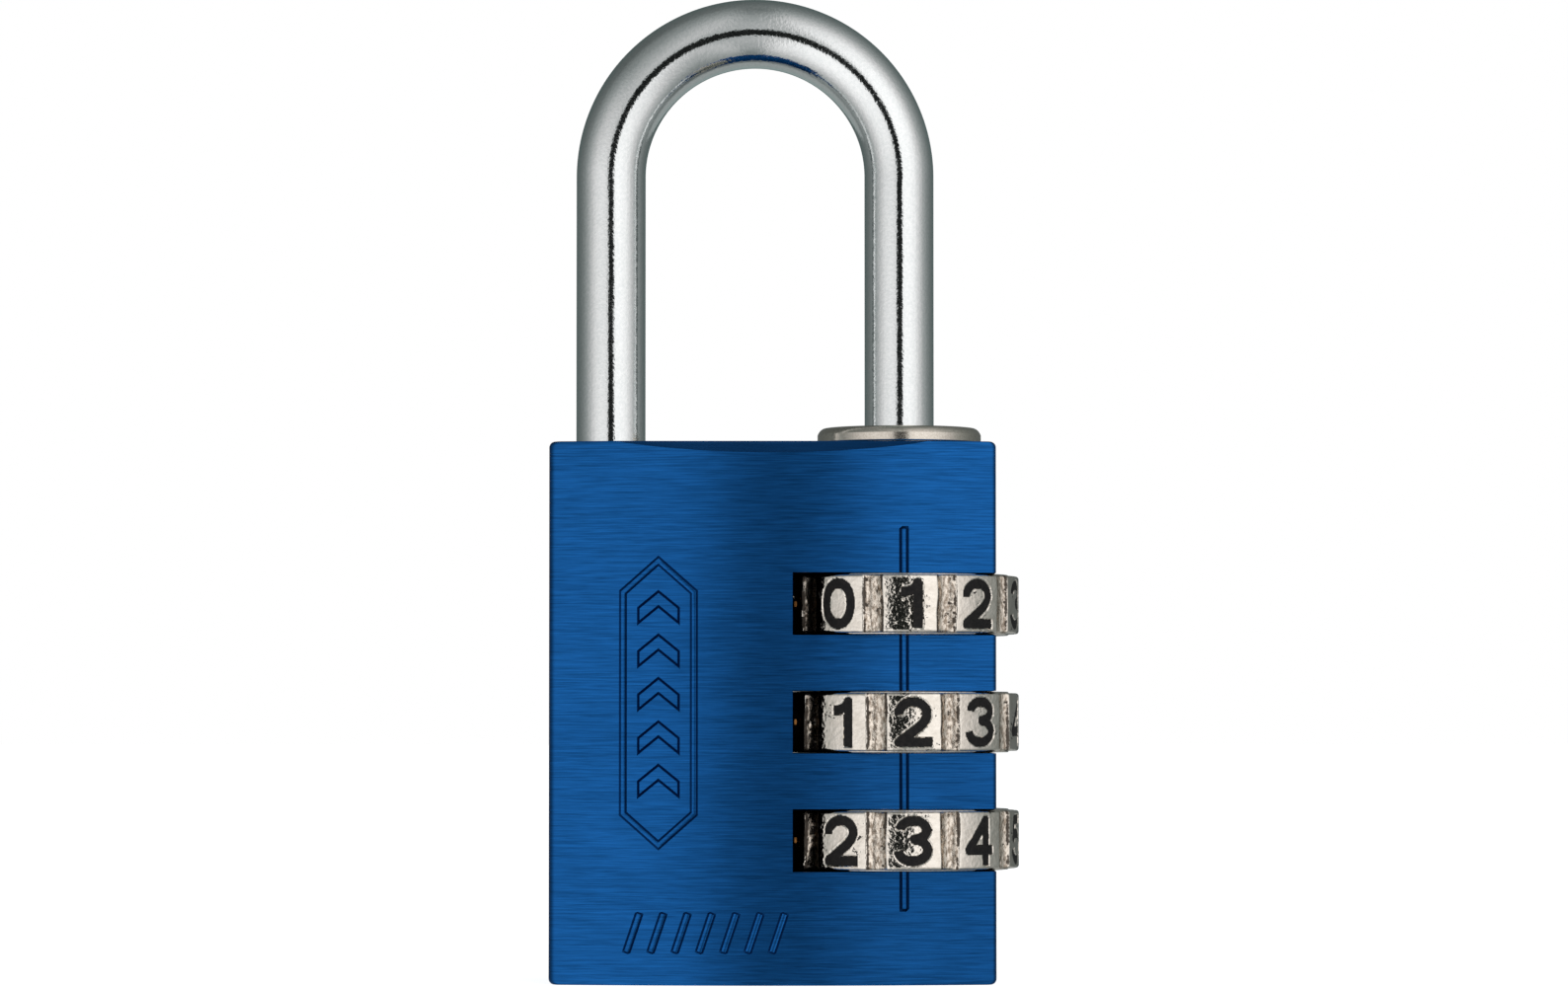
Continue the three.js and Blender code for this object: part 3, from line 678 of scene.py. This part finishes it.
# Each numeral is a list of strokes: the centreline, and whether its start and end are cut square.
NUMERALS = {
    0: [(superellipse(0.94, TOP, 2.25), False, False)],
    1: [([(0.53, -TOP - STROKE), (0.53, TOP)], True, False),
        (quad_curve((-0.62, 0.78), (0.28, 0.74), (0.50, TOP - 0.02)), True, False)],
    2: [(ellipse(-0.06, 0.56, 0.95, TOP - 0.56, 186, -8)
         + quad_curve((0.88, 0.42), (0.78, -0.02), (0.22, -0.42)) + [(-0.98, -TOP + 0.04)], True, False),
        ([(-1.02, -TOP), (1.24, -TOP)], False, True)],
    3: [(ellipse(-0.03, 0.72, 0.90, TOP - 0.72, 176, -82), True, False),
        (ellipse(-0.06, -0.62, 1.0, TOP - 0.62, 84, -176), False, True)],
    4: [([(0.42, -TOP - STROKE), (0.42, TOP), (-1.06, -0.62), (1.12, -0.62)], True, True)],
    5: [([(1.0, TOP), (-0.72, TOP), (-0.86, 0.1)], True, False),
        (ellipse(-0.06, -0.48, 1.0, 0.905, 140, -168), False, True)],
    6: [(ellipse(0.0, -0.47, 0.97, 0.915, 0, 360), False, False),
        (quad_curve((-0.97, -0.47), (-0.92, 1.32), (0.82, 1.32)), False, True)],
    7: [([(-1.1, TOP), (1.0, TOP)], True, False),
        (quad_curve((1.0, TOP), (0.0, 0.3), (-0.32, -TOP - STROKE)), False, True)],
    8: [(ellipse(0.0, 0.70, 0.82, TOP - 0.70, 0, 360), False, False),
        (ellipse(0.0, -0.64, 0.98, TOP - 0.64, 0, 360), False, False)],
    9: [(ellipse(0.0, 0.47, 0.97, 0.915, 0, 360), False, False),
        (quad_curve((0.97, 0.47), (0.92, -1.32), (-0.82, -1.32)), False, True)],
}


def numeral_distance(number, u, v):
    """Distance in mm from points to the numeral's edge, negative inside its strokes."""
    best = np.full(np.broadcast(u, v).shape, FAR)
    for points, square_start, square_end in NUMERALS[number]:
        points = np.asarray(points, float)
        near = np.full(best.shape, FAR)
        for a, b in zip(points[:-1], points[1:]):
            along = b - a
            length = max(float(along @ along), 1e-9)
            t = np.clip(((u - a[0]) * along[0] + (v - a[1]) * along[1]) / length, 0, 1)
            near = np.minimum(near, np.hypot(u - a[0] - t * along[0], v - a[1] - t * along[1]))
        near = near - STROKE
        ends = ((square_start, points[0], points[1]), (square_end, points[-1], points[-2]))
        for square, end, inner in ends:
            if square:
                out = (end - inner) / np.linalg.norm(end - inner)
                past = (u - end[0]) * out[0] + (v - end[1]) * out[1]
                close = np.hypot(u - end[0], v - end[1]) < 2.0 * STROKE
                near = np.where(close, np.maximum(near, past), near)
        best = np.minimum(best, near)
    return best


def pad_radius(degrees):
    """Radius over a pad, which is a little flatter than the wheel's circle, at degrees from its middle."""
    flat = math.cos(math.radians(PAD_HALF_ANGLE)) / np.cos(np.radians(degrees))
    return DIAL_RADIUS * (1 - PAD_FLATNESS + PAD_FLATNESS * flat)


def dial_surface(theta, z, offset, first, rng_seed):
    """Radius and masks of a wheel's outside at angles theta (degrees from the front) and heights z."""
    rng = np.random.default_rng(rng_seed)
    pad_index = np.round((theta - offset) / PAD_PITCH)
    u = theta - offset - pad_index * PAD_PITCH
    turn = (theta % 360) / 360
    height = (z + DIAL_HEIGHT / 2) / DIAL_HEIGHT

    top = pad_radius(np.clip(u, -15, 15))
    wander = 0.35 * lattice_noise(rng, turn, height, 60, 3, 2)
    # Half-round grooves between the pads.
    half_width = math.radians(PAD_PITCH / 2 - PAD_HALF_ANGLE) * DIAL_RADIUS
    round_radius = (half_width**2 + GROOVE_DEPTH**2) / (2 * GROOVE_DEPTH)
    aside = np.radians(PAD_PITCH / 2 - np.abs(u) - wander) * DIAL_RADIUS
    sunk_by = np.sqrt(np.maximum(round_radius**2 - aside**2, 0)) - (round_radius - GROOVE_DEPTH)
    sunk_by = 0.5 * (sunk_by + np.sqrt(sunk_by**2 + 0.03**2)) - 0.004
    slope = ramp(sunk_by, 0.03, 0.12)
    rough = lattice_noise(rng, turn, height, 260, 20, 2)
    chips = ramp(lattice_noise(rng, turn, height, 150, 12, 2), 0.55, 0.95)
    radius = top - sunk_by
    radius += slope * 0.014 * rough - 0.045 * slope * chips

    arc = np.radians(u) * DIAL_RADIUS
    distance = np.full(u.shape, FAR)
    for k in range(PAD_COUNT):
        here = (pad_index % PAD_COUNT) == k
        if here.any():
            distance = np.where(here, numeral_distance((first + k) % 10, arc, z), distance)
    ragged = 0.018 * lattice_noise(rng, turn, height, 420, 34, 1)
    sunk = 1 - ramp(distance + ragged, -0.045, 0.035)
    rim = np.exp(-np.square((distance + 0.5 * ragged - 0.06) / 0.035))
    radius -= NUMERAL_DEPTH * sunk
    radius += 0.012 * rim * (1 - slope)

    # Marks left where the black was wiped off beside the numerals.
    wiped = ramp(lattice_noise(rng, turn, height, 330, 26, 2), 0.50, 0.85)
    wiped *= ramp(-distance, -0.75, -0.05)
    patch = ramp(lattice_noise(rng, turn, height, 34, 3, 1), 0.05, 0.5)
    # The pads in use are the most worn, left of the middle.
    in_use = np.exp(-np.square((arc + 0.45) / 0.32)) * (pad_index == 0)
    patch = np.maximum(patch, 0.9 * in_use)
    radius -= 0.03 * wiped * patch * (1 - slope) * (1 - sunk)

    # Darker along the pads' sides, and in chips and streaks in the grooves.
    edges = np.exp(-np.square((np.abs(u) + wander - PAD_HALF_ANGLE - 0.6) / 0.75))
    edges = np.maximum(edges * (0.85 + 0.5 * lattice_noise(rng, turn, height, 90, 6, 2)), 0)
    streak = ramp(lattice_noise(rng, turn, height, 110, 8, 2), 0.5, 0.8) * slope
    beside = np.clip((np.exp(-np.maximum(distance, 0) / 0.45) + 1.2 * wiped) * patch, 0, 1)
    masks = {
        "groove": slope,
        "darkening": np.clip(edges + 0.75 * chips * slope + 0.35 * streak, 0, 1),
        "near_numeral": beside * (1 - slope) * ramp(distance, 0.05, 0.18),
    }
    return radius, masks


def make_dial(index, z_middle, offset, first):
    """One wheel: hub faces, rounded rims, outside with pads, and splined bore."""
    around = 800
    theta = np.arange(around) * 360.0 / around
    half, hub_half = DIAL_HEIGHT / 2, HUB_HEIGHT / 2
    straight = half - RIM_ROUNDING

    from_rib = (theta + 90 + PAD_PITCH / 2) % PAD_PITCH - PAD_PITCH / 2
    rib = 1 - ramp(np.abs(from_rib), RIB_HALF_ANGLE - 0.25, RIB_HALF_ANGLE + 0.25)
    spline = SPLINE_ROOT_RADIUS + (RIB_RADIUS - SPLINE_ROOT_RADIUS) * rib

    # The outside from the bottom up, as heights and how far each is set in by the rims' rounding.
    a = np.linspace(0, math.pi / 2, 7)[1:]
    reach, drop = RIM_ROUNDING * np.sin(a), RIM_ROUNDING * (1 - np.cos(a))
    heights = np.r_[-straight - reach[::-1], np.linspace(-straight, straight, 46), straight + reach]
    inset = np.r_[drop[::-1], np.zeros(46), drop]
    grid_theta, grid_z = np.meshgrid(theta, heights)
    radius, masks = dial_surface(grid_theta, grid_z, offset, first, 40 + index)

    # Each ring is its radius and height, and its row in the masks where it is on the outside.
    rows = [(COUNTERBORE_RADIUS + 0.12, -hub_half, None), (HUB_RADIUS - 0.06, -hub_half, None),
            (HUB_RADIUS, -hub_half + 0.04, None), (HUB_RADIUS + 0.02, -half, None)]
    rows += [(radius[i] - inset[i], heights[i], i) for i in range(len(heights))]
    rows += [(HUB_RADIUS + 0.02, half, None), (HUB_RADIUS, hub_half - 0.04, None),
             (HUB_RADIUS - 0.06, hub_half, None), (SPLINE_ROOT_RADIUS + 0.15, hub_half, None),
             (spline, hub_half - 0.1, None), (spline, 0.02, None),
             (COUNTERBORE_RADIUS, 0.0, None), (COUNTERBORE_RADIUS, -hub_half + 0.12, None)]
    turn = np.radians(theta)
    rings = [np.stack([LONG_LEG_X + r * np.sin(turn), -r * np.cos(turn), np.full(around, z_middle + z)], -1)
             for r, z, _ in rows]
    dial = loft(f"wheel_{index}", rings, closed=True)

    for name, values in masks.items():
        layer = dial.data.attributes.new(name, "FLOAT", "POINT")
        flat = np.zeros((len(rows), around), np.float32)
        for row, (_, _, source) in enumerate(rows):
            if source is not None:
                flat[row] = values[source]
        layer.data.foreach_set("value", flat.ravel())
    dial.data.materials.append(cast)
    smooth(dial, 40)
    return dial


def make_numerals(index, z_middle, offset, first):
    """The black fill of one wheel's ten numerals, as thin closed solids set into their recesses."""
    step, half_width, half_height = 0.06, 1.6, 1.8  # of the grid that each numeral is drawn on
    fill_depth, floor_depth = 0.062, NUMERAL_DEPTH + 0.03  # of the fill's top and underside
    u = np.arange(-half_width, half_width + step / 2, step)
    v = np.arange(-half_height, half_height + step / 2, step)
    grid_u, grid_v = np.meshgrid(u, v, indexing="ij")
    vertices, faces, where = [], [], {}

    def vertex(key, point):
        if key not in where:
            where[key] = len(vertices)
            vertices.append(point)
        return where[key]

    rng = np.random.default_rng(70 + index)
    for k in range(PAD_COUNT):
        middle = offset + k * PAD_PITCH
        field = numeral_distance((first + k) % 10, grid_u, grid_v) - 0.02
        along_u, along_v = (grid_u + half_width) / 3.3, (grid_v + half_height) / 3.7
        sag = 0.014 * lattice_noise(rng, along_u, along_v, 7, 8, 2)

        def at(pu, pv, depth):
            angle = math.radians(middle) + pu / DIAL_RADIUS
            r = pad_radius(math.degrees(pu / DIAL_RADIUS)) - depth
            return (LONG_LEG_X + r * math.sin(angle), -r * math.cos(angle), z_middle + pv)

        # Each cell's part inside the strokes makes one face on top and one below.
        rim_edges = {}
        for i, j in np.ndindex(len(u) - 1, len(v) - 1):
            cell = [(i, j), (i + 1, j), (i + 1, j + 1), (i, j + 1)]
            values = [field[c] for c in cell]
            if min(values) >= 0:
                continue
            loop = []
            for n in range(4):
                c, d = cell[n], cell[(n + 1) % 4]
                fc, fd = values[n], values[(n + 1) % 4]
                if fc < 0:
                    loop.append((("p", k) + c, u[c[0]], v[c[1]], fill_depth + sag[c]))
                if (fc < 0) != (fd < 0):
                    t = fc / (fc - fd)
                    pu = u[c[0]] + t * (u[d[0]] - u[c[0]])
                    pv = v[c[1]] + t * (v[d[1]] - v[c[1]])
                    loop.append((("e", k) + min(c, d) + max(c, d), pu, pv, fill_depth))
            if len(loop) < 3:
                continue
            top = [vertex(key + ("t",), at(pu, pv, depth)) for key, pu, pv, depth in loop]
            low = [vertex(key + ("b",), at(pu, pv, floor_depth)) for key, pu, pv, _ in loop]
            faces += [top, low[::-1]]
            for n in range(len(top)):
                edge = (top[n], top[(n + 1) % len(top)])
                if edge[::-1] in rim_edges:
                    del rim_edges[edge[::-1]]
                else:
                    rim_edges[edge] = (low[n], low[(n + 1) % len(top)])
        faces += [[b, a, c, d] for (a, b), (c, d) in rim_edges.items()]
    piece = new_piece(f"wheel_{index}_numerals", vertices, faces)
    piece.data.materials.append(enamel)
    smooth(piece, 40)
    return piece


def make_leaf_spring(index, z_middle):
    """One wheel's click spring: a bowed strip, its tail in the body and its nose just clear of the pads."""
    degrees = np.linspace(LEAF_TIP_ANGLE, LEAF_ANCHOR_ANGLE, 56)
    radius = LEAF_RADIUS + LEAF_RISE * ramp(degrees, LEAF_RISE_ANGLE, LEAF_ANCHOR_ANGLE)
    radius -= LEAF_NOSE_DEPTH * np.exp(-np.square((degrees - LEAF_NOSE_ANGLE) / LEAF_NOSE_SPREAD))
    reach = np.linspace(POCKET_RADIUS - 0.1, POCKET_RADIUS + LEAF_TAIL, 3)
    tail = round_wheel(np.full(3, LEAF_ANCHOR_ANGLE), reach)
    line = np.concatenate([round_wheel(degrees, radius), tail])
    along = np.gradient(line, axis=0)
    along /= np.linalg.norm(along, axis=1)[:, None]
    section = np.array(superellipse(LEAF_THICKNESS / 2, LEAF_HEIGHT / 2, 4, 20)[:-1])
    rings = []
    for i, ((x, y), (ax, ay)) in enumerate(zip(line, along)):
        # The tip is rounded.
        tall = math.sqrt(1 - ((4 - min(i, 4)) / 4.3) ** 2)
        rings.append([(x - ay * u, y + ax * u, z_middle + tall * v) for u, v in section])
    leaf = loft(f"click_spring_{index}", rings)
    leaf.data.materials.append(bronze)
    smooth(leaf, 40)
    return leaf


def make_return_spring():
    """The coil under the thrust washer, with closed ends."""
    low = BORE_FLOOR + COIL_GAP + COIL_WIRE
    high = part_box("thrust_washer")[0][2] / MM - COIL_GAP - COIL_WIRE
    turn = np.linspace(0, COIL_TURNS, int(COIL_TURNS * 48) + 1)
    open_pitch = (high - low - 2 * COIL_END_PITCH) / (COIL_TURNS - 2)
    z = low + COIL_END_PITCH * np.minimum(turn, 1) + open_pitch * np.clip(turn - 1, 0, COIL_TURNS - 2)
    z += COIL_END_PITCH * np.maximum(turn - (COIL_TURNS - 1), 0)
    around = np.linspace(0, 2 * math.pi, 16, endpoint=False)
    a = 2 * math.pi * turn[:, None]
    reach = COIL_RADIUS + COIL_WIRE * np.cos(around)
    rings = np.stack([LONG_LEG_X + reach * np.cos(a), reach * np.sin(a),
                      z[:, None] + COIL_WIRE * np.sin(around)], -1)
    coil = loft("return_coil", rings)
    coil.data.materials.append(steel)
    smooth(coil, 40)
    return coil


# ---- Put the pieces together ---------------------------------------------------------------


def place(piece, body, slot, *nodes):
    """Hang a piece on its body and hide the CAD nodes it stands for. The slot is not used."""
    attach(piece, body)
    if nodes:
        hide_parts(*nodes)


place(make_body(), "lock_body", "anodised_body", "body_block")
place(make_collar(), "lock_body", "nickel_trim", "shackle_collar")
place(make_shackle(), "shackle", "shackle_steel", "shackle")
for i, (height, (offset, first)) in enumerate(zip(DIAL_HEIGHTS, DIAL_SETTINGS), 1):
    place(make_dial(i, height, offset, first), f"dial_{i}", "cast_dial", f"dial_{i}")
    place(make_numerals(i, height, offset, first), f"dial_{i}", "digit_enamel")
    place(make_leaf_spring(i, height), "lock_body", "bronze_strip", f"detent_spring_{i}")

return_coil = make_return_spring()
place(return_coil, "lock_body", "spring_steel", "return_spring")
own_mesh(return_coil)

# The CAD pieces that are shown as they are.
finishes = {"code_sleeve": brass, "locking_pin": steel, "thrust_washer": steel}
for name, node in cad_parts.items():
    for start, finish in finishes.items():
        if name.startswith(start):
            node.data.materials.clear()
            node.data.materials.append(finish)

# ---- Floor, light and camera ---------------------------------------------------------------


FLOOR_REACH = 4.0  # metres from the middle to each side
SPOT_TURN = math.radians(1.5)  # how far the dark middle of the light stands to one side
CAMERA_X = 0.00077  # metres


def make_floor():
    """A pale plain floor. It isn't mirrored by the piece and doesn't light it."""
    mesh = bpy.data.meshes.new("floor")
    corners = [(-FLOOR_REACH, -FLOOR_REACH, 0), (FLOOR_REACH, -FLOOR_REACH, 0),
               (FLOOR_REACH, FLOOR_REACH, 0), (-FLOOR_REACH, FLOOR_REACH, 0)]
    mesh.from_pydata(corners, [], [(0, 1, 2, 3)])
    floor = bpy.data.objects.new("floor", mesh)
    bpy.context.scene.collection.objects.link(floor)
    m = Material("pale_floor", metallic=0.0, Roughness=0.9, Emission_Strength=0.85)
    m.shader.inputs["Emission Color"].default_value = (1.0, 1.0, 1.0, 1.0)
    grain = m.noise(m.place, scale=40.0, detail=2.0)
    m.link("Base Color", m.mix(grain, (0.86, 0.86, 0.86), (0.90, 0.90, 0.90)))
    mesh.materials.append(m.material)
    floor.visible_glossy = False
    floor.visible_diffuse = False


def make_world():
    """Soft studio light as brightness over direction: bright round the camera with a dark middle."""
    world = bpy.data.worlds.new("studio")
    bpy.context.scene.world = world
    world.use_nodes = True
    tree = world.node_tree
    tree.nodes.clear()

    def add(kind, settings=None, **inputs):
        node = tree.nodes.new(kind)
        for key, value in (settings or {}).items():
            setattr(node, key, value)
        for key, value in inputs.items():
            feed(tree, input_socket(node, key), value)
        return node

    def calc(operation, a, b=0.0):
        return add("ShaderNodeMath", {"operation": operation}, i0=a, i1=b).outputs[0]

    def step(value, low, high, to_low=0.0, to_high=1.0):
        return add("ShaderNodeMapRange", {"interpolation_type": "SMOOTHSTEP"},
                   i0=value, i1=low, i2=high, i3=to_low, i4=to_high).outputs["Result"]

    def blend(a, b, share_of_a):
        rest = calc("MULTIPLY", b, calc("SUBTRACT", 1.0, share_of_a))
        return calc("ADD", calc("MULTIPLY", a, share_of_a), rest)

    direction = add("ShaderNodeTexCoord").outputs["Generated"]
    unit = add("ShaderNodeVectorMath", {"operation": "NORMALIZE"}, i0=direction).outputs[0]
    x, y, z = add("ShaderNodeSeparateXYZ", Vector=unit).outputs
    front_part = calc("MULTIPLY", y, -math.cos(SPOT_TURN))
    towards = calc("ADD", front_part, calc("MULTIPLY", x, math.sin(SPOT_TURN)))
    away = calc("DIVIDE", calc("ARCCOSINE", calc("MINIMUM", towards, 1.0)), math.pi)

    def curve(position, stops, start, span):
        """A level read off a curve of (position, level) stops."""
        node = add("ShaderNodeValToRGB", Fac=position)
        elements = node.color_ramp.elements
        while len(elements) > 1:
            elements.remove(elements[-1])
        for i, (at, level) in enumerate(stops):
            element = elements[0] if i == 0 else elements.new((at - start) / span)
            element.position, element.color = (at - start) / span, (level, level, level, 1.0)
        return add("ShaderNodeSeparateColor", Color=node.outputs["Color"]).outputs[0]

    # Level against the angle from the front, in degrees: inside the light banks, and between them.
    in_banks = [(0, 0.02), (9.6, 0.02), (11.4, 1.08), (16, 1.20), (34, 1.22), (51, 1.10), (68, 0.76),
                (85, 0.44), (102, 0.29), (119, 0.20), (140, 0.15), (172, 0.13), (180, 0.3)]
    banks = curve(away, in_banks, 0, 180)
    in_gaps = [(0, 0.02), (9.6, 0.02), (11.4, 0.55), (23, 0.52), (40, 0.42), (57, 0.34), (68, 0.27),
               (85, 0.22), (102, 0.13), (119, 0.12), (140, 0.12), (172, 0.12), (180, 0.3)]
    between = curve(away, in_gaps, 0, 180)
    # Where the banks stand, against the direction round the front axis: 0 is right, 90 is up.
    round_front = calc("ADD", calc("DIVIDE", calc("ARCTAN2", z, x), 2 * math.pi), 0.5)
    shares = [(-180, 0.70), (-150, 0.88), (-135, 0.91), (-120, 0.84), (-90, 0.36), (-60, 0.02),
              (-45, 0.24), (-30, 0.60), (0, 0.87), (30, 1.0), (45, 0.97), (60, 0.82),
              (90, 0.30), (120, 0.03), (135, 0.01), (150, 0.26), (180, 0.70)]
    share = curve(round_front, shares, -180, 360)
    level = blend(banks, between, share)
    # A dimmer upright band in the middle.
    band = step(calc("ABSOLUTE", calc("SUBTRACT", x, 0.01)), 0.03, 0.17, 0.62, 1.0)
    front = step(y, -0.1, 0.25, 1.0, 0.0)
    level = calc("MULTIPLY", level, blend(band, 1.0, front))
    # Pale ground, seen from above.
    ground = calc("MULTIPLY", step(z, -0.10, -0.24), step(y, 0.2, 0.5))
    level = calc("MAXIMUM", level, calc("MULTIPLY", ground, 0.35))
    # Dim parts of the room are a little green.
    tint = add("ShaderNodeMix", {"data_type": "RGBA"}, i0=step(level, 0.05, 0.7))
    tint.inputs[6].default_value = (0.89, 1.0, 0.985, 1.0)
    tint.inputs[7].default_value = (1.0, 1.0, 1.0, 1.0)

    lit = add("ShaderNodeBackground", Strength=level)
    tree.links.new(tint.outputs[2], lit.inputs["Color"])
    seen = add("ShaderNodeBackground", Strength=1.0)
    seen.inputs["Color"].default_value = (1.0, 1.0, 1.0, 1.0)
    rays = add("ShaderNodeLightPath").outputs["Is Camera Ray"]
    mixed = add("ShaderNodeMixShader", i0=rays, i1=lit.outputs[0], i2=seen.outputs[0])
    output = add("ShaderNodeOutputWorld")
    tree.links.new(mixed.outputs[0], output.inputs["Surface"])


def make_camera():
    """The camera that looks at the front from a little under the middle."""
    data = bpy.data.cameras.new("camera")
    data.sensor_width = 36.0
    data.lens = 135.2
    data.clip_start, data.clip_end = 0.01, 20.0
    camera = bpy.data.objects.new("camera", data)
    bpy.context.scene.collection.objects.link(camera)
    camera.location = Vector((CAMERA_X, -0.4, 0.0176))
    aim = Vector((CAMERA_X, 0.0, 0.0331))
    camera.rotation_mode = "QUATERNION"
    camera.rotation_quaternion = (aim - camera.location).to_track_quat("-Z", "Y")
    bpy.context.scene.camera = camera


make_floor()
make_world()
make_camera()
bpy.context.scene.view_settings.view_transform = "Standard"
